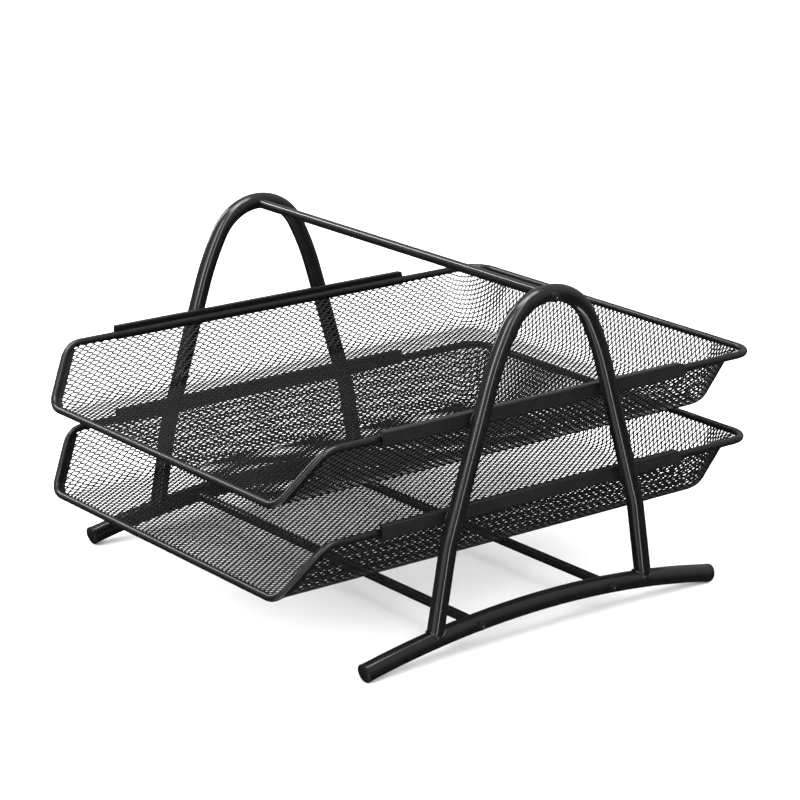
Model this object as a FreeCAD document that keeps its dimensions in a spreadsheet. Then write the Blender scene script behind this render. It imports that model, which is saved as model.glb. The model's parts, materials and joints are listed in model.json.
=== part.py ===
import FreeCAD, Part
import math
import os

import Sketcher
from FreeCAD import Vector

# Two-tier letter tray. Two mesh pans with wire rims slide in four C-section rails,
# which are welded inside two arched tube frames on curved tube feet.
# Frame: +X to the user's right, -Y to the user (the open, low end of the trays), +Z up.
# The origin is on the desk, under the middle of the whole object. Millimetres.

DIMENSIONS = {
    # arched side frames
    "arch_half_span": 142.0,
    "arch_y": -2.0,
    "arch_tube_d": 10.2,
    "tube_wall": 1.0,
    "apex_height": 204.3,
    "crown_radius": 34.0,
    "crown_half_angle": 61.0,
    "shoulder_radius": 175.0,
    "upper_leg_lean": 17.5,
    "lower_leg_lean": 9.8,
    "knee_height": 71.0,
    "knee_radius": 60.0,
    "leg_end_height": 14.0,
    # curved feet and their caps
    "foot_tube_d": 11.0,
    "foot_half_length": 130.8,
    "foot_mid_height": 18.9,
    "foot_rise": 13.2,
    "cap_head_length": 3.5,
    "cap_head_extra": 0.2,
    "cap_dome": 1.6,
    "cap_stem_length": 8.0,
    "cap_stem_play": 0.06,
    # cross rods and their screws
    "rod_d": 6.0,
    "top_rod_height": 203.2,
    "foot_rod_spacing": 101.0,
    "screw_d": 3.4,
    "screw_length": 18.0,
    "screw_head_d": 6.0,
    "screw_head_height": 1.4,
    "screw_recess_d": 2.4,
    "screw_recess_floor_d": 1.4,
    "screw_recess_depth": 0.9,
    "tube_hole_d": 3.8,
    "tapped_hole_d": 3.5,
    "tapped_hole_depth": 16.0,
    # rails
    "rail_length": 227.5,
    "rail_height": 8.7,
    "rail_lip": 4.0,
    "rail_sheet": 1.0,
    "rail_bend": 0.9,
    "rail_corner_round": 2.9,
    "rail_end_round": 4.8,
    "rail_below_rim": 3.5,
    # trays
    "upper_rim_height": 137.0,
    "lower_rim_height": 82.4,
    "rim_wire_d": 4.5,
    "rim_half_width": 132.0,
    "rim_half_length": 174.0,
    "rim_corner_radius": 14.5,
    "front_drop": 32.0,
    "front_slant": 22.0,
    "front_half_width": 116.0,
    "front_top_bend": 16.0,
    "front_low_bend": 12.0,
    "mesh_sheet": 0.6,
    "mesh_floor_drop": 33.4,
    "mesh_fold": 12.0,
    "mesh_corner_radius": 20.0,
}

SIDES = (("left", -1), ("right", 1))
ENDS = (("front", -1), ("rear", 1))
TIERS = ("upper", "lower")

doc = FreeCAD.newDocument("letter_tray")
sheet = doc.addObject("Spreadsheet::Sheet", "Dimensions")
for row, (alias, number) in enumerate(DIMENSIONS.items(), start=1):
    sheet.set("A%d" % row, alias)
    sheet.set("B%d" % row, str(number))
    sheet.setAlias("B%d" % row, alias)
doc.recompute()

parts = {}


def dim(alias):
    return float(sheet.get(alias))


def bind(thing, prop, formula):
    """Bind a property to the sheet; names in braces are the sheet's aliases."""
    thing.setExpression(prop, formula.replace("{", "Dimensions.").replace("}", ""))


def keep(name, thing):
    """Register a finished sub-part under the name of its file."""
    thing.Label = name
    parts[name] = thing
    return thing


def new_body(name):
    return doc.addObject("PartDesign::Body", name)


def origin_plane(body, role):
    return next(f for f in body.Origin.OriginFeatures if f.Role == role)


def new_sketch(body, name, role):
    sketch = body.newObject("Sketcher::SketchObject", name)
    sketch.AttachmentSupport = [(origin_plane(body, role), "")]
    sketch.MapMode = "FlatFace"
    return sketch


def constrain(sketch, kind, *where, name=None, formula=None):
    """Add one constraint, and bind it to the sheet where it is a dimension."""
    index = sketch.addConstraint(Sketcher.Constraint(kind, *where))
    if name:
        sketch.renameConstraint(index, name)
        bind(sketch, "Constraints." + name, formula)
    return index


def tube_profile(body, height, diameter, height_formula, diameter_formula):
    """The ring section of a tube that starts in the body's XZ plane."""
    profile = new_sketch(body, "Section", "XZ_Plane")
    outer = diameter / 2
    for name, radius, formula in (
            ("outer", outer, diameter_formula + " / 2"),
            ("inner", outer - dim("tube_wall"), diameter_formula + " / 2 - {tube_wall}")):
        circle = Part.Circle(Vector(0, height, 0), Vector(0, 0, 1), radius)
        geometry = profile.addGeometry(circle, False)
        constrain(profile, "Radius", geometry, radius, name=name, formula=formula)
        constrain(profile, "PointOnObject", geometry, 3, -2)
        constrain(profile, "DistanceY", -1, 1, geometry, 3, height,
                  name=name + "_height", formula=height_formula)
    return profile


def sweep_and_mirror(body, profile, spine):
    """Sweep one half of a symmetrical tube, then mirror it at its middle."""
    pipe = body.newObject("PartDesign::AdditivePipe", "HalfTube")
    pipe.Profile = profile
    pipe.Spine = spine
    doc.recompute()
    mirror = body.newObject("PartDesign::Mirrored", "WholeTube")
    mirror.Originals = [pipe]
    mirror.MirrorPlane = (origin_plane(body, "XZ_Plane"), [""])
    body.Tip = mirror
    doc.recompute()
    return mirror


def drill_across(body, name, centres, height_formulas):
    """Drill clearance holes along X through both walls of a tube."""
    sketch = new_sketch(body, name + "Circles", "YZ_Plane")
    for index, ((across, height), formula) in enumerate(zip(centres, height_formulas)):
        axis = Vector(0, 0, 1)
        hole = Part.Circle(Vector(across, height, 0), axis, dim("tube_hole_d") / 2)
        geometry = sketch.addGeometry(hole, False)
        constrain(sketch, "Radius", geometry, dim("tube_hole_d") / 2,
                  name="hole%d" % index, formula="{tube_hole_d} / 2")
        constrain(sketch, "DistanceY", -1, 1, geometry, 3, height,
                  name="height%d" % index, formula=formula[1])
        if across:
            start, end = ((-1, 1), (geometry, 3))
            if across < 0:
                start, end = end, start
            constrain(sketch, "DistanceX", *start, *end, abs(across),
                      name="across%d" % index, formula=formula[0])
        else:
            constrain(sketch, "PointOnObject", geometry, 3, -2)
    before = body.Shape.Volume
    pocket = body.newObject("PartDesign::Pocket", name)
    pocket.Profile = sketch
    pocket.Type = "ThroughAll"
    pocket.Midplane = True
    doc.recompute()
    if not pocket.Shape.Volume < before:
        raise RuntimeError(body.Name + ": the cross holes cut nothing")


# ---------------------------------------------------------------- arched side frames

def arch_spine(body):
    """Half of the arch: crown, shoulder, upper leg, knee and lower leg."""
    apex = dim("apex_height")
    crown = dim("crown_radius")
    shoulder = dim("shoulder_radius")
    knee = dim("knee_radius")
    crown_turn = math.radians(dim("crown_half_angle"))
    upper_turn = math.radians(90 - dim("upper_leg_lean"))
    lower_turn = math.radians(90 - dim("lower_leg_lean"))

    def outward(turn):
        return Vector(math.sin(turn), math.cos(turn), 0)

    def along(turn):
        return Vector(math.cos(turn), -math.sin(turn), 0)

    crown_centre = Vector(0, apex - crown, 0)
    crown_end = crown_centre + outward(crown_turn) * crown
    shoulder_centre = crown_end - outward(crown_turn) * shoulder
    shoulder_end = shoulder_centre + outward(upper_turn) * shoulder
    upper_run = (shoulder_end.y - dim("knee_height")) / math.sin(upper_turn)
    knee_start = shoulder_end + along(upper_turn) * upper_run
    knee_centre = knee_start - outward(upper_turn) * knee
    knee_end = knee_centre + outward(lower_turn) * knee
    lower_run = (knee_end.y - dim("leg_end_height")) / math.sin(lower_turn)
    leg_end = knee_end + along(lower_turn) * lower_run

    def arc(centre, radius, from_turn, to_turn):
        full = Part.Circle(centre, Vector(0, 0, 1), radius)
        return Part.ArcOfCircle(full, math.pi / 2 - to_turn, math.pi / 2 - from_turn)

    spine = new_sketch(body, "Centreline", "YZ_Plane")
    top = spine.addGeometry(arc(crown_centre, crown, 0, crown_turn), False)
    bend = spine.addGeometry(arc(shoulder_centre, shoulder, crown_turn, upper_turn), False)
    upper = spine.addGeometry(Part.LineSegment(shoulder_end, knee_start), False)
    joint = spine.addGeometry(arc(knee_centre, knee, upper_turn, lower_turn), False)
    lower = spine.addGeometry(Part.LineSegment(knee_end, leg_end), False)

    # An arc's first point is its far end, because the arc runs anticlockwise.
    constrain(spine, "PointOnObject", top, 3, -2)
    constrain(spine, "PointOnObject", top, 2, -2)
    constrain(spine, "DistanceY", -1, 1, top, 2, apex, name="apex", formula="{apex_height}")
    constrain(spine, "Radius", top, crown, name="crown", formula="{crown_radius}")
    constrain(spine, "DistanceX", -1, 1, top, 1, crown_end.x, name="crown_reach",
              formula="{crown_radius} * sin({crown_half_angle} * 1 deg)")
    constrain(spine, "Tangent", top, 1, bend, 2)
    constrain(spine, "Radius", bend, shoulder, name="shoulder", formula="{shoulder_radius}")
    constrain(spine, "Tangent", bend, 1, upper, 1)
    constrain(spine, "Angle", upper, -upper_turn, name="upper_lean",
              formula="({upper_leg_lean} - 90) * 1 deg")
    constrain(spine, "DistanceY", -1, 1, upper, 2, knee_start.y, name="knee_level",
              formula="{knee_height}")
    constrain(spine, "Tangent", upper, 2, joint, 2)
    constrain(spine, "Radius", joint, knee, name="knee", formula="{knee_radius}")
    constrain(spine, "Tangent", joint, 1, lower, 1)
    constrain(spine, "Angle", lower, -lower_turn, name="lower_lean",
              formula="({lower_leg_lean} - 90) * 1 deg")
    constrain(spine, "DistanceY", -1, 1, lower, 2, leg_end.y, name="leg_end",
              formula="{leg_end_height}")
    return spine


def foot_bend_radius():
    rise = dim("foot_rise")
    return (dim("foot_half_length") ** 2 + rise ** 2) / (2 * rise)


BEND_FORMULA = "(({foot_half_length} ^ 2 + {foot_rise} ^ 2) / (2 * {foot_rise}))"


def ring(name, major_formula, minor_formula, x_formula, y_formula, z_formula):
    """The outside of a bent tube as a torus round an axis along X, used to cope joints."""
    torus = doc.addObject("Part::Torus", name)
    bind(torus, "Radius1", major_formula)
    bind(torus, "Radius2", minor_formula)
    torus.Placement = FreeCAD.Placement(Vector(), FreeCAD.Rotation(Vector(0, 1, 0), 90))
    bind(torus, "Placement.Base.x", x_formula)
    bind(torus, "Placement.Base.y", y_formula)
    bind(torus, "Placement.Base.z", z_formula)
    return torus


def cut(name, base, tool):
    result = doc.addObject("Part::Cut", name)
    result.Base = base
    result.Tool = tool
    return result


def foot_ring(name, sign):
    return ring(name, BEND_FORMULA, "{foot_tube_d} / 2", "%d * {arch_half_span}" % sign, "0",
                "{foot_mid_height} - %s" % BEND_FORMULA)


def crown_ring(name, sign):
    return ring(name, "{crown_radius}", "{arch_tube_d} / 2", "%d * {arch_half_span}" % sign,
                "{arch_y}", "{apex_height} - {crown_radius}")


def make_arch(side, sign):
    body = new_body(side + "_arch_tube")
    profile = tube_profile(body, dim("apex_height"), dim("arch_tube_d"),
                           "{apex_height}", "{arch_tube_d}")
    sweep_and_mirror(body, profile, arch_spine(body))
    drill_across(body, "ScrewHole", [(0, dim("top_rod_height"))], [("0", "{top_rod_height}")])
    bind(body, "Placement.Base.x", "%d * {arch_half_span}" % sign)
    bind(body, "Placement.Base.y", "{arch_y}")
    # the two leg ends are coped to sit on the curved foot
    keep(side + "_arch", cut(side + "_arch_coped", body, foot_ring(side + "_cope", sign)))


# ------------------------------------------------------------------------ curved feet

def foot_level(y):
    """Height of the foot's centreline at a distance y from its middle."""
    radius = foot_bend_radius()
    return dim("foot_mid_height") - radius + math.sqrt(radius ** 2 - y ** 2)


def foot_rod_y(sign):
    return dim("arch_y") + sign * dim("foot_rod_spacing") / 2


def foot_rod_formulas(sign):
    across = "({arch_y} + %d * {foot_rod_spacing} / 2)" % sign
    drop = "sqrt(%s ^ 2 - %s ^ 2)" % (BEND_FORMULA, across)
    return across, "{foot_mid_height} - %s + %s" % (BEND_FORMULA, drop)


def make_foot(side, sign):
    radius = foot_bend_radius()
    half_turn = math.asin(dim("foot_half_length") / radius)
    body = new_body(side + "_foot_tube")
    profile = tube_profile(body, dim("foot_mid_height"), dim("foot_tube_d"),
                           "{foot_mid_height}", "{foot_tube_d}")
    spine = new_sketch(body, "Centreline", "YZ_Plane")
    centre = Vector(0, dim("foot_mid_height") - radius, 0)
    circle_line = Part.Circle(centre, Vector(0, 0, 1), radius)
    bend = spine.addGeometry(
        Part.ArcOfCircle(circle_line, math.pi / 2 - half_turn, math.pi / 2), False)
    constrain(spine, "PointOnObject", bend, 3, -2)
    constrain(spine, "PointOnObject", bend, 2, -2)
    constrain(spine, "DistanceY", -1, 1, bend, 2, dim("foot_mid_height"), name="middle",
              formula="{foot_mid_height}")
    constrain(spine, "Radius", bend, radius, name="bend", formula=BEND_FORMULA)
    constrain(spine, "DistanceX", -1, 1, bend, 1, dim("foot_half_length"), name="reach",
              formula="{foot_half_length}")
    sweep_and_mirror(body, profile, spine)
    centres = []
    formulas = []
    for end, end_sign in ENDS:
        y = foot_rod_y(end_sign)
        across, height = foot_rod_formulas(end_sign)
        centres.append((y, foot_level(y)))
        formulas.append(("abs(%s)" % across, height))
    drill_across(body, "ScrewHoles", centres, formulas)
    bind(body, "Placement.Base.x", "%d * {arch_half_span}" % sign)
    keep(side + "_foot", body)


def make_cap(side, sign, end, end_sign):
    """A domed plastic plug: stem inside the tube, head flush with it, flat underneath."""
    name = "%s_%s_foot_cap" % (side, end)
    stem = dim("foot_tube_d") / 2 - dim("tube_wall") - dim("cap_stem_play")
    head = dim("foot_tube_d") / 2 + dim("cap_head_extra")
    length = dim("cap_head_length")
    back = dim("cap_stem_length")
    body = new_body(name + "_plug")
    outline = new_sketch(body, "HalfSection", "XZ_Plane")
    # x is the radius, and the second axis runs out of the tube's end
    round_start = length - dim("cap_dome")
    points = [(0, -back), (stem, -back), (stem, 0), (head, 0), (head, round_start)]
    corners = [Vector(x, y, 0) for x, y in points]
    lines = [outline.addGeometry(Part.LineSegment(a, b), False)
             for a, b in zip(corners, corners[1:])]
    dome_radius = (head ** 2 + dim("cap_dome") ** 2) / (2 * dim("cap_dome"))
    crown_x = head / 2
    crown = Vector(crown_x, length - dome_radius + math.sqrt(dome_radius ** 2 - crown_x ** 2), 0)
    tip = Vector(0, length, 0)
    dome = outline.addGeometry(Part.Arc(corners[-1], crown, tip), False)
    axis_line = outline.addGeometry(Part.LineSegment(tip, corners[0]), False)
    for first, second in zip(lines, lines[1:]):
        constrain(outline, "Coincident", first, 2, second, 1)
    dome_start, dome_end = 1, 2
    if outline.getPoint(dome, 1).distanceToPoint(corners[-1]) > 1e-6:
        dome_start, dome_end = 2, 1
    constrain(outline, "Coincident", lines[-1], 2, dome, dome_start)
    constrain(outline, "Coincident", dome, dome_end, axis_line, 1)
    constrain(outline, "Coincident", axis_line, 2, lines[0], 1)
    constrain(outline, "PointOnObject", axis_line, 1, -2)
    constrain(outline, "PointOnObject", axis_line, 2, -2)
    for index in (0, 2):
        constrain(outline, "Horizontal", lines[index])
    for index in (1, 3):
        constrain(outline, "Vertical", lines[index])
    constrain(outline, "PointOnObject", lines[2], 1, -1)
    constrain(outline, "DistanceX", -1, 1, lines[0], 2, stem, name="stem",
              formula="{foot_tube_d} / 2 - {tube_wall} - {cap_stem_play}")
    constrain(outline, "DistanceX", -1, 1, lines[2], 2, head, name="head",
              formula="{foot_tube_d} / 2 + {cap_head_extra}")
    constrain(outline, "DistanceY", lines[0], 1, -1, 1, back, name="back",
              formula="{cap_stem_length}")
    constrain(outline, "DistanceY", -1, 1, lines[3], 2, round_start, name="skirt",
              formula="{cap_head_length} - {cap_dome}")
    constrain(outline, "DistanceY", -1, 1, dome, dome_end, length, name="tip",
              formula="{cap_head_length}")
    turn = body.newObject("PartDesign::Revolution", "Turned")
    turn.Profile = outline
    turn.ReferenceAxis = (outline, ["V_Axis"])
    turn.Angle = 360
    doc.recompute()
    # The sketch's second axis is +Z of the body; it is laid along the tube's end tangent.
    y = end_sign * dim("foot_half_length")
    tangent = Vector(0, end_sign * math.sqrt(foot_bend_radius() ** 2 - y ** 2), -abs(y))
    place = FreeCAD.Placement()
    place.Base = Vector(sign * dim("arch_half_span"), y, foot_level(y))
    place.Rotation = FreeCAD.Rotation(Vector(0, 0, 1), tangent)
    body.Placement = place
    # what would reach below the desk is cut off, which leaves the flat that stands on it
    desk = doc.addObject("Part::Box", name + "_desk")
    breadth = 6 * head
    desk.Length = desk.Width = desk.Height = breadth
    desk.Placement.Base = place.Base - Vector(breadth / 2, breadth / 2, place.Base.z + breadth)
    keep(name, cut(name + "_flat", body, desk))


# ------------------------------------------------------------------- cross rods, screws

def make_rod(name, y_formula, z_formula, rings):
    """A solid rod between the two frames, coped to them, tapped at both ends."""
    half = dim("arch_half_span")
    rod = doc.addObject("Part::Cylinder", name + "_blank")
    bind(rod, "Radius", "{rod_d} / 2")
    bind(rod, "Height", "2 * {arch_half_span}")
    tools = list(rings)
    solids = [rod]
    for side, sign in SIDES:
        bore = doc.addObject("Part::Cylinder", "%s_%s_thread" % (name, side))
        bind(bore, "Radius", "{tapped_hole_d} / 2")
        bind(bore, "Height", "{tapped_hole_depth}")
        solids.append(bore)
        tools.append(bore)
    starts = [-half, -half, half - dim("tapped_hole_depth")]
    start_formulas = ["-{arch_half_span}", "-{arch_half_span}",
                      "{arch_half_span} - {tapped_hole_depth}"]
    for solid, start, formula in zip(solids, starts, start_formulas):
        solid.Placement = FreeCAD.Placement(
            Vector(start, 0, 0), FreeCAD.Rotation(Vector(0, 1, 0), 90))
        bind(solid, "Placement.Base.x", formula)
        bind(solid, "Placement.Base.y", y_formula)
        bind(solid, "Placement.Base.z", z_formula)
    tool = doc.addObject("Part::MultiFuse", name + "_tools")
    tool.Shapes = tools
    keep(name, cut(name + "_coped", rod, tool))


def make_screw_body(name):
    """A pan-head machine screw along +Z: head above z = 0, shank below."""
    shank = dim("screw_d") / 2
    head = dim("screw_head_d") / 2
    height = dim("screw_head_height")
    length = dim("screw_length")
    recess = dim("screw_recess_d") / 2
    recess_floor = dim("screw_recess_floor_d") / 2
    depth = dim("screw_recess_depth")
    edge_height = height / 2
    body = new_body(name)
    outline = new_sketch(body, "HalfSection", "XZ_Plane")
    points = [(0, -length), (shank, -length), (shank, 0), (head, 0), (head, edge_height),
              (recess, height), (recess_floor, height - depth), (0, height - depth)]
    corners = [Vector(x, y, 0) for x, y in points]
    lines = [outline.addGeometry(Part.LineSegment(a, b), False)
             for a, b in zip(corners, corners[1:] + corners[:1])]
    for first, second in zip(lines, lines[1:] + lines[:1]):
        constrain(outline, "Coincident", first, 2, second, 1)
    constrain(outline, "PointOnObject", lines[0], 1, -2)
    constrain(outline, "PointOnObject", lines[7], 1, -2)
    for index in (0, 2, 6):
        constrain(outline, "Horizontal", lines[index])
    for index in (1, 3):
        constrain(outline, "Vertical", lines[index])
    constrain(outline, "PointOnObject", lines[2], 1, -1)
    constrain(outline, "DistanceX", -1, 1, lines[0], 2, shank, name="shank",
              formula="{screw_d} / 2")
    constrain(outline, "DistanceX", -1, 1, lines[2], 2, head, name="head",
              formula="{screw_head_d} / 2")
    constrain(outline, "DistanceY", lines[0], 2, -1, 1, length, name="length",
              formula="{screw_length}")
    constrain(outline, "DistanceY", -1, 1, lines[3], 2, edge_height, name="edge",
              formula="{screw_head_height} / 2")
    constrain(outline, "DistanceX", -1, 1, lines[4], 2, recess, name="recess",
              formula="{screw_recess_d} / 2")
    constrain(outline, "DistanceY", -1, 1, lines[4], 2, height, name="top",
              formula="{screw_head_height}")
    constrain(outline, "DistanceX", -1, 1, lines[5], 2, recess_floor, name="recess_floor",
              formula="{screw_recess_floor_d} / 2")
    constrain(outline, "DistanceY", -1, 1, lines[5], 2, height - depth, name="recess_level",
              formula="{screw_head_height} - {screw_recess_depth}")
    turn = body.newObject("PartDesign::Revolution", "Turned")
    turn.Profile = outline
    turn.ReferenceAxis = (outline, ["V_Axis"])
    turn.Angle = 360
    return body


def make_screws(name, tube_alias, y, z):
    """The two screws of one rod, one from each side, as separate solids of one node."""
    screws = []
    for side, sign in SIDES:
        body = make_screw_body("%s_%s" % (name, side))
        seat = sign * (dim("arch_half_span") + dim(tube_alias) / 2)
        body.Placement = FreeCAD.Placement(
            Vector(seat, y, z), FreeCAD.Rotation(Vector(0, 0, 1), Vector(sign, 0, 0)))
        screws.append(body)
    group = doc.addObject("Part::Compound", name + "_pair")
    group.Links = screws
    keep(name, group)


# ------------------------------------------------------------------------------- rails

def edges_where(shape, test):
    return ["Edge%d" % (i + 1) for i, edge in enumerate(shape.Edges) if test(edge)]


def make_rail(tier, side, sign):
    """A folded C-section: web against the legs, lips over and under the tray's rim."""
    name = "%s_%s_rail" % (tier, side)
    height = dim("rail_height")
    lip = dim("rail_lip")
    sheet_t = dim("rail_sheet")
    inward = -sign
    body = new_body(name + "_channel")
    section = new_sketch(body, "Section", "XZ_Plane")
    points = [(0, 0), (lip, 0), (lip, sheet_t), (sheet_t, sheet_t),
              (sheet_t, height - sheet_t), (lip, height - sheet_t), (lip, height), (0, height)]
    # the sketch is drawn for a web on the left, and turned over for the right-hand rails
    corners = [Vector(inward * x, y, 0) for x, y in points]
    lines = [section.addGeometry(Part.LineSegment(a, b), False)
             for a, b in zip(corners, corners[1:] + corners[:1])]
    for first, second in zip(lines, lines[1:] + lines[:1]):
        constrain(section, "Coincident", first, 2, second, 1)
    for index in (0, 2, 4, 6):
        constrain(section, "Horizontal", lines[index])
    for index in (1, 3, 5, 7):
        constrain(section, "Vertical", lines[index])
    constrain(section, "Coincident", lines[0], 1, -1, 1)

    def across(line, point, value, label, formula):
        pair = [(-1, 1), (lines[line], point)]
        if inward < 0:
            pair.reverse()
        constrain(section, "DistanceX", *pair[0], *pair[1], value, name=label, formula=formula)

    def up(line, point, value, label, formula):
        constrain(section, "DistanceY", -1, 1, lines[line], point, value, name=label,
                  formula=formula)

    across(0, 2, lip, "low_lip", "{rail_lip}")
    across(3, 1, sheet_t, "web", "{rail_sheet}")
    across(5, 1, lip, "high_lip", "{rail_lip}")
    up(1, 2, sheet_t, "low_sheet", "{rail_sheet}")
    up(4, 1, height - sheet_t, "high_sheet", "{rail_height} - {rail_sheet}")
    up(6, 1, height, "top", "{rail_height}")
    pad = body.newObject("PartDesign::Pad", "Length")
    pad.Profile = section
    bind(pad, "Length", "{rail_length}")
    pad.Midplane = True
    doc.recompute()

    def on_bend(edge):
        middle = edge.valueAt((edge.FirstParameter + edge.LastParameter) / 2)
        outside = abs(middle.x) < 1e-6 and abs(middle.y) < 1e-6
        return outside and min(abs(middle.z), abs(middle.z - height)) < 1e-6

    bends = body.newObject("PartDesign::Fillet", "Bends")
    bends.Base = (pad, edges_where(pad.Shape, on_bend))
    bind(bends, "Radius", "{rail_bend}")
    doc.recompute()

    def rear_lip_corner(edge):
        middle = edge.valueAt((edge.FirstParameter + edge.LastParameter) / 2)
        at_end = abs(middle.y - dim("rail_length") / 2) < 1e-6
        at_tip = abs(abs(middle.x) - lip) < 1e-6
        return at_end and at_tip and edge.Length < sheet_t + 0.01

    rounding = body.newObject("PartDesign::Fillet", "RearCorners")
    rounding.Base = (bends, edges_where(bends.Shape, rear_lip_corner))
    bind(rounding, "Radius", "{rail_corner_round}")
    doc.recompute()
    bind(body, "Placement.Base.x", "%d * ({arch_half_span} - {arch_tube_d} / 2)" % sign)
    bind(body, "Placement.Base.y", "{arch_y}")
    bind(body, "Placement.Base.z", "{%s_rim_height} - {rail_below_rim}" % tier)
    keep(name, cut(name + "_rounded", body, rail_end_cutter(name, tier)))


def rail_end_cutter(name, tier):
    """What is cut from a rail's upper rear corner, to leave it rounded as seen from the side."""
    centre_y = "{arch_y} + {rail_length} / 2 - {rail_end_round}"
    centre_z = "{%s_rim_height} - {rail_below_rim} + {rail_height} - {rail_end_round}" % tier
    corner = doc.addObject("Part::Box", name + "_corner")
    bind(corner, "Length", "2 * {arch_half_span}")
    bind(corner, "Width", "2 * {rail_end_round}")
    bind(corner, "Height", "2 * {rail_end_round}")
    bind(corner, "Placement.Base.x", "-{arch_half_span}")
    bind(corner, "Placement.Base.y", centre_y)
    bind(corner, "Placement.Base.z", centre_z)
    kept = doc.addObject("Part::Cylinder", name + "_kept")
    kept.Placement.Rotation = FreeCAD.Rotation(Vector(0, 1, 0), 90)
    bind(kept, "Radius", "{rail_end_round}")
    bind(kept, "Height", "2 * {arch_half_span}")
    bind(kept, "Placement.Base.x", "-{arch_half_span}")
    bind(kept, "Placement.Base.y", centre_y)
    bind(kept, "Placement.Base.z", centre_z)
    return cut(name + "_cutter", corner, kept)


# ------------------------------------------------------------------------------- trays

def bent_bar(corners, radii, diameter):
    """A closed loop of round wire: straight cylinders joined by elbows, as one solid."""
    count = len(corners)
    pieces = []
    starts = []
    ends = []
    for index, corner in enumerate(corners):
        to_last = (corners[index - 1] - corner).normalize()
        to_next = (corners[(index + 1) % count] - corner).normalize()
        half_angle = to_last.getAngle(to_next) / 2
        setback = radii[index] / math.tan(half_angle)
        start = corner + to_last * setback
        end = corner + to_next * setback
        bisector = (to_last + to_next).normalize()
        centre = corner + bisector * (radii[index] / math.sin(half_angle))
        hinge = (end - centre).cross(start - centre).normalize() * -1
        section = Part.Face(Part.Wire(Part.makeCircle(diameter / 2, start, to_last)))
        turn = math.degrees(math.pi - 2 * half_angle)
        pieces.append(section.revolve(centre, hinge, turn))
        starts.append(start)
        ends.append(end)
    for index in range(count):
        run = starts[(index + 1) % count] - ends[index]
        pieces.append(Part.makeCylinder(diameter / 2, run.Length, ends[index], run))
    solid = pieces[0].multiFuse(pieces[1:]).removeSplitter()
    return solid.Solids[0]


def rim_corners(height):
    """Corner points of the rim's centreline, clockwise from the rear right."""
    side = dim("rim_half_width")
    end = dim("rim_half_length")
    low_side = dim("front_half_width")
    low = height - dim("front_drop")
    bend_y = -end + dim("front_slant")
    return [Vector(side, end, height), Vector(side, bend_y, height),
            Vector(low_side, -end, low), Vector(-low_side, -end, low),
            Vector(-side, bend_y, height), Vector(-side, end, height)]


def make_rim(tier):
    radii = [dim("rim_corner_radius"), dim("front_top_bend"), dim("front_low_bend")]
    radii = radii + radii[::-1]
    shape = bent_bar(rim_corners(dim(tier + "_rim_height")), radii, dim("rim_wire_d"))
    rim = doc.addObject("Part::Feature", tier + "_tray_rim")
    rim.Shape = shape
    keep(tier + "_tray_rim", rim)


def wall_lean():
    """How far a wall moves inwards for each millimetre that it goes down."""
    return (dim("rim_half_width") - dim("front_half_width")) / dim("front_drop")


def rounded_outline(half_width, rear, corner, height, front):
    """A flat outline with two rounded rear corners and a straight open front."""
    inset = corner * (1 - math.sqrt(0.5))
    points = [Vector(half_width, front, height), Vector(half_width, rear - corner, height),
              Vector(half_width - inset, rear - inset, height),
              Vector(half_width - corner, rear, height)]
    mirrored = [Vector(-p.x, p.y, p.z) for p in reversed(points)]
    edges = [Part.LineSegment(points[0], points[1]).toShape(),
             Part.Arc(points[1], points[2], points[3]).toShape(),
             Part.LineSegment(points[3], mirrored[0]).toShape(),
             Part.Arc(mirrored[0], mirrored[1], mirrored[2]).toShape(),
             Part.LineSegment(mirrored[2], mirrored[3]).toShape(),
             Part.LineSegment(mirrored[3], points[0]).toShape()]
    return Part.Wire(edges)


def pan_solid(rim_height, offset):
    """The pan's outside, grown outwards by offset: sloping walls and folded floor edges."""
    floor = rim_height - dim("mesh_floor_drop") - offset
    top = rim_height
    lean = wall_lean()
    spread = offset * math.sqrt(1 + lean ** 2)
    front = -dim("rim_half_length")
    corner = dim("mesh_corner_radius")

    def outline(height):
        half_width = dim("rim_half_width") + spread - lean * (rim_height - height)
        rear = dim("rim_half_length") + spread - lean * (rim_height - height)
        return rounded_outline(half_width, rear, corner + offset, height, front)

    block = Part.makeLoft([outline(floor), outline(top)], True, True)

    def on_floor_edge(edge):
        middle = edge.valueAt((edge.FirstParameter + edge.LastParameter) / 2)
        at_front = abs(middle.y - front) < 1e-3
        return abs(middle.z - floor) < 1e-3 and not at_front

    fold = dim("mesh_fold") + offset
    return block.makeFillet(fold, [e for e in block.Edges if on_floor_edge(e)])


def make_mesh(tier):
    """The mesh pan as a plain formed sheet, trimmed to the rim wire all round."""
    rim_height = dim(tier + "_rim_height")
    half_sheet = dim("mesh_sheet") / 2
    end = dim("rim_half_length")
    reach = 2 * dim("rim_half_width")
    sheet_shape = pan_solid(rim_height, half_sheet).cut(pan_solid(rim_height, -half_sheet))
    slant = Part.makePolygon([
        Vector(-reach, -end - 1, rim_height - dim("front_drop")),
        Vector(-reach, -end, rim_height - dim("front_drop")),
        Vector(-reach, -end + dim("front_slant"), rim_height + 1),
        Vector(-reach, -end - 1, rim_height + 1),
        Vector(-reach, -end - 1, rim_height - dim("front_drop"))])
    wedge = Part.Face(slant).extrude(Vector(2 * reach, 0, 0))
    sheet_shape = sheet_shape.cut(wedge).cut(parts[tier + "_tray_rim"].Shape)
    largest = max(sheet_shape.Solids, key=lambda solid: solid.Volume)
    mesh = doc.addObject("Part::Feature", tier + "_tray_mesh")
    mesh.Shape = largest
    keep(tier + "_tray_mesh", mesh)


# ---------------------------------------------------------------------------- assembly

for side, sign in SIDES:
    make_arch(side, sign)
    make_foot(side, sign)
    for end, end_sign in ENDS:
        make_cap(side, sign, end, end_sign)

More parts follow.
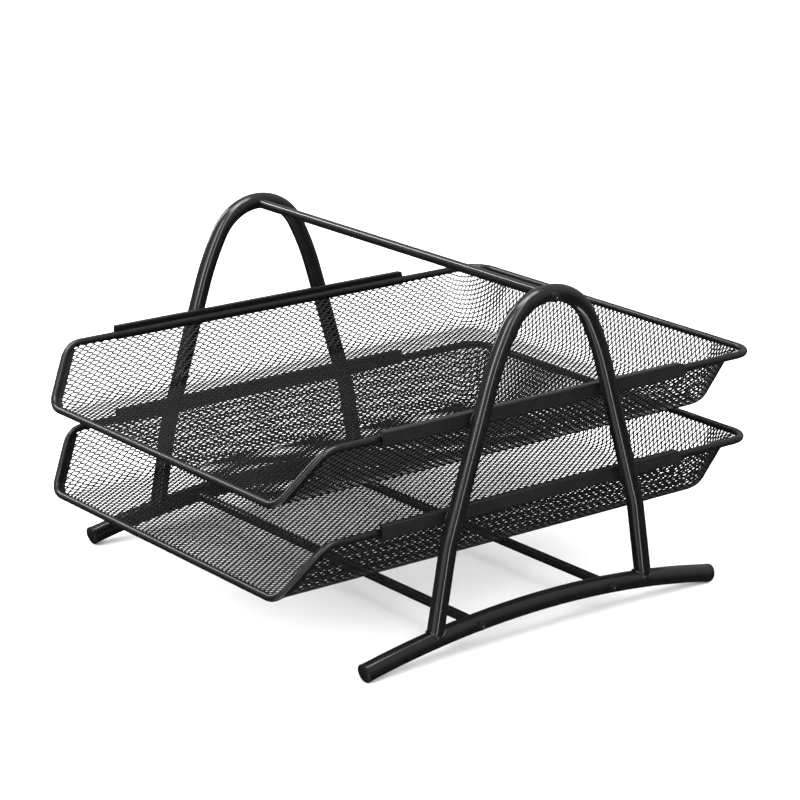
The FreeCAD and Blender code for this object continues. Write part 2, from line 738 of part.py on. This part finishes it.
make_rod("top_cross_rod", "{arch_y}", "{top_rod_height}",
         [crown_ring("top_%s_cope" % side, sign) for side, sign in SIDES])
make_screws("top_rod_screws", "arch_tube_d", dim("arch_y"), dim("top_rod_height"))
for end, end_sign in ENDS:
    across, height = foot_rod_formulas(end_sign)
    make_rod(end + "_cross_rod", across, height,
             [foot_ring("%s_%s_cope" % (end, side), sign) for side, sign in SIDES])
    y = foot_rod_y(end_sign)
    make_screws(end + "_rod_screws", "foot_tube_d", y, foot_level(y))

for tier in TIERS:
    for side, sign in SIDES:
        make_rail(tier, side, sign)
    make_rim(tier)
    make_mesh(tier)

doc.recompute()

for thing in doc.Objects:
    if {"Invalid", "Error"} & set(thing.State):
        raise RuntimeError(thing.Name + " did not recompute")
for name, thing in parts.items():
    if thing.Shape.isNull() or not thing.Shape.isValid():
        raise RuntimeError(name + " has no valid shape")

os.makedirs("parts", exist_ok=True)
for name, thing in parts.items():
    thing.Shape.exportStep("parts/%s.step" % name)
    box = thing.Shape.BoundBox
    print("%-24s solids %d  volume %9.1f  x %7.2f %7.2f  y %7.2f %7.2f  z %7.2f %7.2f" % (
        name, len(thing.Shape.Solids), thing.Shape.Volume,
        box.XMin, box.XMax, box.YMin, box.YMax, box.ZMin, box.ZMax))
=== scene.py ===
import json
import math

import bpy
import numpy as np
from mathutils import Matrix, Vector


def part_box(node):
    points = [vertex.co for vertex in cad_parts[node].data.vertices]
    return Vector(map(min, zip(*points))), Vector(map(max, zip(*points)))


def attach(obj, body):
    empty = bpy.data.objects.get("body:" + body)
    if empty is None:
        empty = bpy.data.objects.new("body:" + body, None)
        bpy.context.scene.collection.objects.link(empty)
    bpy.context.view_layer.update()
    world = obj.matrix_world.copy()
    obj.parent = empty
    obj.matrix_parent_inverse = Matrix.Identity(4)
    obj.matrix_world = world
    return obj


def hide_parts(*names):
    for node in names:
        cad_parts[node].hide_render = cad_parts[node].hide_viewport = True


# Two-tier letter tray: the CAD tubes, rods, rails and rims keep their shapes and get finished
# surfaces here; the two plain mesh pans are replaced with real expanded-metal lattices.
# Metres, in the CAD's frame: +X right, -Y towards the open front, +Z up.

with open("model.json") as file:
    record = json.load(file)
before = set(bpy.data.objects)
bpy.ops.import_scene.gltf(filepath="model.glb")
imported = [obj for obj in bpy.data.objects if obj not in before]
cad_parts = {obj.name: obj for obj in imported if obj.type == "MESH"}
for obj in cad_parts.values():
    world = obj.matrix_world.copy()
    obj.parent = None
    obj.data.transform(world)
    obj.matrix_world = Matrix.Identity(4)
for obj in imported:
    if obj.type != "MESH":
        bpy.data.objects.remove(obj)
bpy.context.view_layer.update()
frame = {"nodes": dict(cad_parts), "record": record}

MM = 0.001
TIERS = ("upper", "lower")

# the pan, as in the CAD
RIM_HALF_WIDTH = 132.0
RIM_HALF_LENGTH = 174.0
RIM_CORNER = 14.5
WIDE_CORNER = 32.0  # the rear corner's plan radius just below the rim
WIDE_CORNER_DROP = 6.0  # how far below the rim it has grown to that
LOW_CORNER = 18.0  # its plan radius at the floor
WIRE_RADIUS = 2.25
FRONT_DROP = 32.0
FRONT_SLANT = 22.0
FRONT_HALF_WIDTH = 116.0
FRONT_TOP_BEND = 16.0
FLOOR_DROP = 33.4
FOLD_RADIUS = 12.0

# the expanded metal
DIAMOND_LONG = 5.7
DIAMOND_SHORT = 3.75
STRAND_WIDTH = 0.88
STRAND_THICKNESS = 0.6
STRAND_TILT = math.radians(18)
KNUCKLE_OVERLAP = 0.42  # share of a strand's width that meets its neighbour
EDGE_GAP = 0.6  # from the rim wire's middle to the nearest strand's middle
HEM_WIDTH = 3.2
HEM_THICKNESS = 0.9
HEM_STATIONS = 240


# --------------------------------------------------------------------------- materials

def noise(nodes, links, vector, scale, detail, roughness):
    texture = nodes.new("ShaderNodeTexNoise")
    texture.inputs["Scale"].default_value = scale
    texture.inputs["Detail"].default_value = detail
    texture.inputs["Roughness"].default_value = roughness
    links.new(vector, texture.inputs["Vector"])
    return texture.outputs["Fac"]


def spread(nodes, links, value, low, high):
    """Map a noise's middle range onto low..high."""
    remap = nodes.new("ShaderNodeMapRange")
    remap.inputs["From Min"].default_value = 0.3
    remap.inputs["From Max"].default_value = 0.7
    remap.inputs["To Min"].default_value = low
    remap.inputs["To Max"].default_value = high
    links.new(value, remap.inputs["Value"])
    return remap.outputs["Result"]


def enamel(name, dark, light, gloss, grain, relief, specular, coat=0.0):
    """A coated black surface: faint mottling, uneven gloss and an orange-peel skin.

    dark and light are the mottling's colours, gloss its lowest and highest roughness,
    grain the size of the skin's bumps in millimetres and relief their depth.
    """
    material = bpy.data.materials.new(name)
    material.use_nodes = True
    nodes = material.node_tree.nodes
    links = material.node_tree.links
    shader = nodes["Principled BSDF"]
    place = nodes.new("ShaderNodeTexCoord").outputs["Object"]

    mottling = noise(nodes, links, place, 60.0, 4.0, 0.6)
    blend = nodes.new("ShaderNodeMix")
    blend.data_type = "RGBA"
    blend.inputs["A"].default_value = (*dark, 1)
    blend.inputs["B"].default_value = (*light, 1)
    links.new(spread(nodes, links, mottling, 0.0, 1.0), blend.inputs["Factor"])
    links.new(blend.outputs["Result"], shader.inputs["Base Color"])

    smears = noise(nodes, links, place, 140.0, 3.0, 0.55)
    links.new(spread(nodes, links, smears, *gloss), shader.inputs["Roughness"])

    skin = noise(nodes, links, place, 1 / (grain * MM), 2.0, 0.5)
    bump = nodes.new("ShaderNodeBump")
    bump.inputs["Strength"].default_value = relief
    bump.inputs["Distance"].default_value = 0.1 * MM
    links.new(skin, bump.inputs["Height"])
    links.new(bump.outputs["Normal"], shader.inputs["Normal"])

    shader.inputs["Specular IOR Level"].default_value = specular
    shader.inputs["Coat Weight"].default_value = coat
    shader.inputs["Coat Roughness"].default_value = 0.16
    return material


def plain(name, colour, roughness):
    material = bpy.data.materials.new(name)
    material.use_nodes = True
    shader = material.node_tree.nodes["Principled BSDF"]
    shader.inputs["Base Color"].default_value = (*colour, 1)
    shader.inputs["Roughness"].default_value = roughness
    return material


FINISHES = {
    "tube_enamel": enamel("tube_enamel", (0.0026, 0.0024, 0.0022), (0.004, 0.0037, 0.0034),
                          (0.15, 0.22), 1.4, 0.1, 0.45, 0.25),
    "rail_enamel": enamel("rail_enamel", (0.0042, 0.0039, 0.0035), (0.006, 0.0055, 0.005),
                          (0.36, 0.46), 0.8, 0.25, 0.45),
    "wire_enamel": enamel("wire_enamel", (0.0027, 0.0025, 0.0023), (0.0042, 0.0039, 0.0036),
                          (0.22, 0.32), 1.0, 0.15, 0.45),
    "mesh_enamel": enamel("mesh_enamel", (0.0024, 0.0022, 0.002), (0.0038, 0.0035, 0.0032),
                          (0.3, 0.42), 0.8, 0.2, 0.4),
    "cap_plastic": enamel("cap_plastic", (0.0027, 0.0026, 0.0025), (0.0038, 0.0037, 0.0036),
                          (0.24, 0.32), 1.4, 0.1, 0.4),
    "screw_steel": enamel("screw_steel", (0.0026, 0.0026, 0.0026), (0.005, 0.0049, 0.0048),
                          (0.14, 0.22), 0.8, 0.15, 0.6),
}

for part in frame["record"]["subparts"]:
    node = frame["nodes"][part["node"]]
    for material_slot in node.material_slots:
        material_slot.material = FINISHES[part["material_slot"]]


def piece(name, vertices, faces, slot, body, smooth=False):
    """A mesh in millimetres, which rides on a body and takes a slot's finish."""
    mesh = bpy.data.meshes.new(name)
    mesh.from_pydata((np.asarray(vertices) * MM).tolist(), [], np.asarray(faces).tolist())
    mesh.materials.append(FINISHES[slot])
    if smooth:
        mesh.shade_smooth()
    thing = bpy.data.objects.new(name, mesh)
    bpy.context.scene.collection.objects.link(thing)
    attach(thing, body)
    return thing


# -------------------------------------------------------------------- the pans' surface

LEAN = (RIM_HALF_WIDTH - FRONT_HALF_WIDTH) / FRONT_DROP
WALL_ANGLE = math.atan(LEAN)
FOLD_TURN = math.pi / 2 - WALL_ANGLE
SETBACK = FOLD_RADIUS * math.tan(FOLD_TURN / 2)
FOOT_INSET = LEAN * FLOOR_DROP
FLOOR_INSET = FOOT_INSET + SETBACK
FOLD_LENGTH = FOLD_RADIUS * FOLD_TURN
WALL_LENGTH = FLOOR_DROP / math.cos(WALL_ANGLE) - SETBACK
RISE_LENGTH = FOLD_LENGTH + WALL_LENGTH
FLOOR_CORNER = LOW_CORNER - SETBACK
CORNER_X = RIM_HALF_WIDTH - LOW_CORNER - FOOT_INSET
CORNER_Y = RIM_HALF_LENGTH - LOW_CORNER - FOOT_INSET


def wall_profile(rise):
    """Inset from the rim and height over the floor, at a length up from the floor's edge."""
    on_fold = np.minimum(rise, FOLD_LENGTH) / FOLD_RADIUS
    on_wall = np.maximum(rise - FOLD_LENGTH, 0)
    inset = FLOOR_INSET - FOLD_RADIUS * np.sin(on_fold) - on_wall * math.sin(WALL_ANGLE)
    height = FOLD_RADIUS * (1 - np.cos(on_fold)) + on_wall * math.cos(WALL_ANGLE)
    return inset, height


def corner_radius(height):
    """The pan's plan radius at a rear corner: the rim's, soon wider, then tighter lower down."""
    below_rim = FLOOR_DROP - height
    widened = np.clip(below_rim / WIDE_CORNER_DROP, 0, 1)
    widened = np.sqrt(1 - (1 - widened) ** 2)
    upper = RIM_CORNER + (WIDE_CORNER - RIM_CORNER) * widened
    sunk = np.clip((below_rim - WIDE_CORNER_DROP) / (FLOOR_DROP - WIDE_CORNER_DROP), 0, 1)
    return upper + (LOW_CORNER - WIDE_CORNER) * sunk


def pan_points(across, along):
    """Place points of the flat blank on the formed pan; z is measured from the floor.

    Outside the floor the blank turns up into the side and rear walls, and it is drawn
    round the two rear corners.
    """
    side = np.sign(across)
    beyond_x = np.abs(across) - CORNER_X
    beyond_y = along - CORNER_Y
    in_corner = (beyond_x > 0) & (beyond_y > 0)
    reach = np.where(in_corner, np.hypot(beyond_x, beyond_y),
                     np.maximum(beyond_x, beyond_y))
    rise = np.maximum(reach - FLOOR_CORNER, 0)
    inset, height = wall_profile(rise)
    foot = np.minimum(inset, FOOT_INSET)
    full = np.minimum(corner_radius(height), LOW_CORNER + FOOT_INSET - foot)
    radius = np.where(rise > 0, full - np.maximum(inset - FOOT_INSET, 0), reach)

    # round a rear corner: a little of the side wall, the arc, a little of the rear wall
    share = np.arctan2(beyond_y, beyond_x) / (math.pi / 2)
    centre = np.where(rise > 0, FOOT_INSET - foot + LOW_CORNER - full, 0)
    wedge = np.maximum(centre, 0)
    girth = 2 * wedge + radius * math.pi / 2
    travelled = share * girth
    turn = np.clip((travelled - wedge) / np.maximum(radius, 1e-6), 0, math.pi / 2)
    after = np.maximum(travelled - wedge - radius * math.pi / 2, 0)
    before = np.minimum(travelled, wedge)
    corner_x = CORNER_X + centre + radius * np.cos(turn) - after
    corner_y = CORNER_Y + centre - wedge + before + radius * np.sin(turn)

    on_side = (beyond_x > FLOOR_CORNER) & ~in_corner
    on_rear = (beyond_y > FLOOR_CORNER) & ~in_corner
    x = np.where(in_corner, corner_x, np.where(on_side, RIM_HALF_WIDTH - inset, np.abs(across)))
    y = np.where(in_corner, corner_y, np.where(on_rear, RIM_HALF_LENGTH - inset, along))
    return np.stack([side * x, y, height], axis=-1)


def pan_normals(across, along):
    step = 0.02
    right = pan_points(across + step, along) - pan_points(across - step, along)
    back = pan_points(across, along + step) - pan_points(across, along - step)
    normal = np.cross(right, back)
    right /= np.linalg.norm(right, axis=-1, keepdims=True)
    normal /= np.linalg.norm(normal, axis=-1, keepdims=True)
    return right, normal


def inside_rim(across, along, margin):
    """Whether points of the blank lie within the rim wire, its front bends included."""
    rise = np.maximum(np.abs(across) - CORNER_X - FLOOR_CORNER, 0)
    rear_rise = np.hypot(np.maximum(np.abs(across) - CORNER_X, 0),
                         np.maximum(along - CORNER_Y, 0)) - FLOOR_CORNER
    below_rim = RISE_LENGTH - np.maximum(rise, rear_rise)
    drop = FRONT_DROP / math.cos(WALL_ANGLE)
    slope = math.hypot(FRONT_SLANT, drop)
    from_end = along + RIM_HALF_LENGTH
    to_slant = ((from_end - FRONT_SLANT) * drop + below_rim * FRONT_SLANT) / slope
    bend_turn = math.atan2(drop, FRONT_SLANT)
    # the bend's centre lies at its radius from both of the edges that it joins
    centre_below = FRONT_TOP_BEND
    centre_along = FRONT_SLANT + (FRONT_TOP_BEND * slope - FRONT_TOP_BEND * FRONT_SLANT) / drop
    offset_along = from_end - centre_along
    offset_below = below_rim - centre_below
    distance = np.hypot(offset_along, offset_below)
    middle = -math.sin(bend_turn / 2) * offset_along - math.cos(bend_turn / 2) * offset_below
    in_bend = (middle > distance * math.cos(bend_turn / 2))
    outside_bend = in_bend & (distance > FRONT_TOP_BEND - margin)
    return ((below_rim > margin) & (to_slant > margin) & (from_end > margin) & ~outside_bend)


def lattice_mesh(floor_z):
    """Expanded metal: zigzag strands that meet at the knuckles, long way along Y."""
    half_short = DIAMOND_SHORT / 2
    half_long = DIAMOND_LONG / 2
    half_blank = CORNER_X + FLOOR_CORNER + RISE_LENGTH
    rows = int(math.ceil(half_blank / half_short)) + 1
    first = -int(math.ceil(RIM_HALF_LENGTH / half_long)) - 1
    last = int(math.ceil((CORNER_Y + FLOOR_CORNER + RISE_LENGTH) / half_long)) + 1
    strand = np.arange(-rows, rows)
    knuckle = np.arange(first, last)
    strand, knuckle = np.meshgrid(strand, knuckle, indexing="ij")
    to_right = (strand + knuckle) % 2
    tuck = STRAND_WIDTH * KNUCKLE_OVERLAP
    across = strand * half_short + np.where(to_right, half_short - tuck, tuck)
    along = knuckle * half_long

    centre = pan_points(across, along)
    right, normal = pan_normals(across, along)
    wide = (right * math.cos(STRAND_TILT) + normal * math.sin(STRAND_TILT)) * STRAND_WIDTH / 2
    upright = normal * math.cos(STRAND_TILT) - right * math.sin(STRAND_TILT)
    thick = upright * STRAND_THICKNESS / 2
    ring = np.stack([centre + wide + thick, centre - wide + thick,
                     centre - wide - thick, centre + wide - thick], axis=2)
    ring[..., 2] += floor_z
    count, length = across.shape
    vertices = ring.reshape(-1, 3)
    index = np.arange(count * length * 4).reshape(count, length, 4)

    keep = inside_rim((across[:, 1:] + across[:, :-1]) / 2,
                      (along[:, 1:] + along[:, :-1]) / 2, EDGE_GAP)
    here = index[:, :-1][keep]
    there = index[:, 1:][keep]
    quads = [np.stack([here[:, k], there[:, k], there[:, (k + 1) % 4],
                       here[:, (k + 1) % 4]], axis=1)
             for k in range(4)]
    faces = np.concatenate(quads)
    used, faces = np.unique(faces, return_inverse=True)
    return vertices[used], faces.reshape(-1, 4)


def hem_strip(floor_z):
    """The pan's uncut front edge: a flat strip on the inner side of the front wire."""
    half_blank = CORNER_X + FLOOR_CORNER + RISE_LENGTH
    across = np.linspace(-half_blank + 1, half_blank - 1, HEM_STATIONS)
    rise = np.maximum(np.abs(across) - CORNER_X - FLOOR_CORNER, 0)
    inset, height = wall_profile(rise)
    over_low = np.clip(height - (FLOOR_DROP - FRONT_DROP), 0, None)
    along = -RIM_HALF_LENGTH + FRONT_SLANT * over_low / FRONT_DROP
    edge = pan_points(across, along)
    right, normal = pan_normals(across, along)
    run = np.gradient(edge, axis=0)
    run /= np.linalg.norm(run, axis=1, keepdims=True)
    inward = np.cross(normal, run)
    inward *= np.sign(inward[:, 1:2])
    lift = normal * HEM_THICKNESS / 2
    start = edge + inward * WIRE_RADIUS * 0.5
    end = edge + inward * (WIRE_RADIUS + HEM_WIDTH)
    ring = np.stack([start + lift, end + lift, end - lift, start - lift], axis=1)
    ring[..., 2] += floor_z
    index = np.arange(len(across) * 4).reshape(-1, 4)
    faces = [[index[i, k], index[i + 1, k], index[i + 1, (k + 1) % 4], index[i, (k + 1) % 4]]
             for i in range(len(across) - 1) for k in range(4)]
    return ring.reshape(-1, 3), faces


for tier in TIERS:
    rim_low, rim_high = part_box(tier + "_tray_rim")
    floor_z = rim_high.z / MM - WIRE_RADIUS - FLOOR_DROP
    lattice = piece(tier + "_tray_lattice", *lattice_mesh(floor_z), "mesh_enamel",
                    tier + "_tray")
    hem = piece(tier + "_tray_front_hem", *hem_strip(floor_z), "mesh_enamel", tier + "_tray")
    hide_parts(tier + "_tray_mesh")
    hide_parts(tier + "_tray_mesh")


# ------------------------------------------------------------------------------- welds

SPAN = 142.0
ARCH_Y = -2.0
LEG_RADIUS = 5.1
FOOT_RADIUS = 5.5
FOOT_MIDDLE = 18.9
FOOT_BEND = 654.6
LEG_FOOT_Y = 79.4
LEG_FOOT_Z = 16.0
LOWER_LEAN = math.radians(9.8)
UPPER_LEAN = math.radians(17.5)
SHOULDER_Y = 43.6
SHOULDER_Z = 154.6
WELD_RADIUS = 0.9
BEAD_SIDES = 10
FOOT_BEAD_STATIONS = 56
FOOT_BEAD_SPREAD = 0.1  # how far the bead's middle lies outside the leg, and above the foot
RAIL_BEAD_HALF_HEIGHT = 3.6
RAIL_BEAD_ASIDE = 2.6  # along Y from the leg's middle line
RAIL_BEAD_SINK = 0.45  # from the leg's innermost line into the corner


def bead(path, radius, closed):
    """A weld bead: a thin round roll along a path, uneven along its length."""
    path = np.asarray(path)
    count = len(path)
    if closed:
        run = np.roll(path, -1, axis=0) - np.roll(path, 1, axis=0)
    else:
        run = np.gradient(path, axis=0)
    run /= np.linalg.norm(run, axis=1, keepdims=True)
    aside = np.cross(run, np.where(np.abs(run[:, :1]) < 0.9, (1.0, 0, 0), (0, 1.0, 0)))
    aside /= np.linalg.norm(aside, axis=1, keepdims=True)
    other = np.cross(run, aside)
    step = np.arange(count)
    swell = radius * (1 + 0.12 * np.sin(step * 2.4) + 0.06 * np.sin(step * 5.3 + 1))
    if not closed:
        swell = swell * np.sqrt(np.clip(np.sin(math.pi * (step + 0.3) / (count - 0.4)), 0.05, 1))
    turns = np.linspace(0, 2 * math.pi, BEAD_SIDES, endpoint=False)
    ring = (path[:, None] + swell[:, None, None] * (
        np.cos(turns)[None, :, None] * aside[:, None]
        + np.sin(turns)[None, :, None] * other[:, None]))
    vertices = ring.reshape(-1, 3)
    index = np.arange(count * BEAD_SIDES).reshape(count, BEAD_SIDES)
    spans = count if closed else count - 1
    faces = []
    for i in range(spans):
        here, there = index[i], index[(i + 1) % count]
        for k in range(BEAD_SIDES):
            after = (k + 1) % BEAD_SIDES
            faces.append([here[k], there[k], there[after], here[after]])
    if not closed:
        for end in (0, count - 1):
            faces += [[index[end, 0], index[end, k], index[end, k + 1], index[end, k + 2]]
                      for k in range(1, BEAD_SIDES - 2, 2)]
    return vertices, faces


def foot_weld(side, end):
    """The bead round the saddle where a leg stands on its foot."""
    loop = []
    for turn in np.linspace(0, 2 * math.pi, FOOT_BEAD_STATIONS, endpoint=False):
        x = LEG_RADIUS * math.cos(turn)
        across = LEG_RADIUS * math.sin(turn)
        z = LEG_FOOT_Z
        for _ in range(6):
            y = ARCH_Y + end * (LEG_FOOT_Y - (z - LEG_FOOT_Z) * math.tan(LOWER_LEAN)
                                + across / math.cos(LOWER_LEAN))
            z = FOOT_MIDDLE - y * y / (2 * FOOT_BEND) + math.sqrt(FOOT_RADIUS ** 2 - x * x)
        loop.append((side * SPAN + x + FOOT_BEAD_SPREAD * math.cos(turn),
                     y + end * FOOT_BEAD_SPREAD * math.sin(turn), z + FOOT_BEAD_SPREAD))
    return bead(loop, WELD_RADIUS, True)


def rail_weld(side, end, rail_middle, flank):
    """A short bead in the corner between a rail's web and a leg."""
    path = []
    for up in np.linspace(-RAIL_BEAD_HALF_HEIGHT, RAIL_BEAD_HALF_HEIGHT, 14):
        z = rail_middle + up
        lean = math.tan(UPPER_LEAN)
        y = (ARCH_Y + end * (SHOULDER_Y + (SHOULDER_Z - z) * lean)
             + flank * RAIL_BEAD_ASIDE)
        path.append((side * (SPAN - LEG_RADIUS + RAIL_BEAD_SINK), y, z))
    return bead(path, WELD_RADIUS, False)


def joined(shapes):
    """One set of vertices and faces from several."""
    vertices, faces, start = [], [], 0
    for points, quads in shapes:
        vertices.append(points)
        faces += [[start + k for k in quad] for quad in quads]
        start += len(points)
    return np.concatenate(vertices), faces


for label, side in (("left", -1), ("right", 1)):
    shapes = [foot_weld(side, end) for end in (-1, 1)]
    for tier in TIERS:
        rail_low, rail_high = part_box("%s_%s_rail" % (tier, label))
        middle = (rail_low.z + rail_high.z) / 2 / MM
        shapes += [rail_weld(side, end, middle, flank) for end in (-1, 1) for flank in (-1, 1)]
    piece(label + "_frame_welds", *joined(shapes), "tube_enamel", "frame", smooth=True)


# ------------------------------------------------------------------------------ studio

floor_size = 12.0
bpy.ops.mesh.primitive_plane_add(size=floor_size, location=(0, 0, 0))
ground = bpy.context.object
ground.name = "floor"
ground.data.materials.append(plain("floor_white", (0.85, 0.85, 0.85), 0.8))
ground.visible_glossy = False


def upright_panel(nodes, links, direction, azimuth, half_width, strength):
    """The light of a tall panel that stands at an azimuth, seen in a direction."""
    turn = math.radians(azimuth)
    facing = nodes.new("ShaderNodeVectorMath")
    facing.operation = "DOT_PRODUCT"
    facing.inputs[1].default_value = (math.sin(turn), -math.cos(turn), 0)
    links.new(direction, facing.inputs[0])
    ahead = nodes.new("ShaderNodeMath")
    ahead.operation = "GREATER_THAN"
    ahead.inputs[1].default_value = 0.0
    links.new(facing.outputs["Value"], ahead.inputs[0])
    aside = nodes.new("ShaderNodeVectorMath")
    aside.operation = "DOT_PRODUCT"
    aside.inputs[1].default_value = (math.cos(turn), math.sin(turn), 0)
    links.new(direction, aside.inputs[0])
    distance = nodes.new("ShaderNodeMath")
    distance.operation = "ABSOLUTE"
    links.new(aside.outputs["Value"], distance.inputs[0])
    edge = nodes.new("ShaderNodeMapRange")
    edge.interpolation_type = "SMOOTHSTEP"
    edge.inputs["From Min"].default_value = math.sin(math.radians(half_width * 0.6))
    edge.inputs["From Max"].default_value = math.sin(math.radians(half_width * 1.4))
    edge.inputs["To Min"].default_value = strength
    edge.inputs["To Max"].default_value = 0.0
    links.new(distance.outputs["Value"], edge.inputs["Value"])
    light = nodes.new("ShaderNodeMath")
    light.operation = "MULTIPLY"
    links.new(edge.outputs["Result"], light.inputs[0])
    links.new(ahead.outputs["Value"], light.inputs[1])
    return light.outputs["Value"]


def studio_world():
    """An even white room; gloss sees a dim dome and two upright panels in its place."""
    world = bpy.data.worlds.new("studio")
    world.use_nodes = True
    nodes = world.node_tree.nodes
    links = world.node_tree.links
    direction = nodes.new("ShaderNodeTexCoord").outputs["Generated"]
    split = nodes.new("ShaderNodeSeparateXYZ")
    links.new(direction, split.inputs["Vector"])
    height = nodes.new("ShaderNodeMapRange")
    height.interpolation_type = "SMOOTHSTEP"
    height.inputs["From Min"].default_value = -0.45
    height.inputs["From Max"].default_value = 0.7
    height.inputs["To Min"].default_value = 0.03
    height.inputs["To Max"].default_value = 0.5
    links.new(split.outputs["Z"], height.inputs["Value"])
    brightness = height.outputs["Result"]
    for azimuth, half_width, strength in ((18, 20, 0.9), (69, 3.5, 6.5)):
        total = nodes.new("ShaderNodeMath")
        total.operation = "ADD"
        links.new(brightness, total.inputs[0])
        links.new(upright_panel(nodes, links, direction, azimuth, half_width, strength),
                  total.inputs[1])
        brightness = total.outputs["Value"]
    dome = nodes["Background"]
    links.new(brightness, dome.inputs["Strength"])
    dome.inputs["Color"].default_value = (1, 1, 1, 1)
    backdrop = nodes.new("ShaderNodeBackground")
    backdrop.inputs["Color"].default_value = (1, 1, 1, 1)
    backdrop.inputs["Strength"].default_value = 2.8
    choose = nodes.new("ShaderNodeMixShader")
    links.new(nodes.new("ShaderNodeLightPath").outputs["Is Glossy Ray"], choose.inputs["Fac"])
    links.new(backdrop.outputs["Background"], choose.inputs[1])
    links.new(dome.outputs["Background"], choose.inputs[2])
    links.new(choose.outputs["Shader"], nodes["World Output"].inputs["Surface"])
    return world


bpy.context.scene.world = studio_world()


def softbox(name, azimuth, elevation, distance, width, height, power):
    """A rectangular light that points at the tray; azimuth 0 is in front, growing to +X."""
    turn, tilt = math.radians(azimuth), math.radians(elevation)
    away = Vector((math.sin(turn) * math.cos(tilt), -math.cos(turn) * math.cos(tilt),
                   math.sin(tilt)))
    data = bpy.data.lights.new(name, "AREA")
    data.shape = "RECTANGLE"
    data.size = width
    data.size_y = height
    data.energy = power
    lamp = bpy.data.objects.new(name, data)
    lamp.location = away * distance + Vector((0, 0, 0.08))
    lamp.rotation_euler = away.to_track_quat("Z", "Y").to_euler()
    bpy.context.scene.collection.objects.link(lamp)


softbox("overhead", 0, 89, 1.5, 0.9, 0.9, 16)
softbox("front_strip", 22, 32, 1.7, 0.16, 1.3, 10)
softbox("far_side_strip", -75, 30, 1.8, 0.2, 1.2, 12)


def aim_camera(target, azimuth, elevation, distance, roll, focal_pixels):
    """Azimuth 0 looks along +Y and grows towards +X; the image is 800 pixels wide."""
    back = Vector((math.sin(azimuth) * math.cos(elevation),
                   -math.cos(azimuth) * math.cos(elevation), math.sin(elevation)))
    data = bpy.data.cameras.new("camera")
    data.sensor_width = 36.0
    data.lens = focal_pixels * 36.0 / 800
    data.clip_end = 50
    camera = bpy.data.objects.new("camera", data)
    level = back.to_track_quat("Z", "Y")
    camera.rotation_mode = "QUATERNION"
    camera.rotation_quaternion = level @ Matrix.Rotation(roll, 3, "Z").to_quaternion()
    camera.location = Vector(target) + back * distance
    bpy.context.scene.collection.objects.link(camera)
    bpy.context.scene.camera = camera


aim_camera((-0.12872, 0.10455, 0.05446), math.radians(51.82), math.radians(17.162), 1.92792,
           math.radians(0.361), 2865.0)
bpy.context.scene.view_settings.view_transform = "Standard"
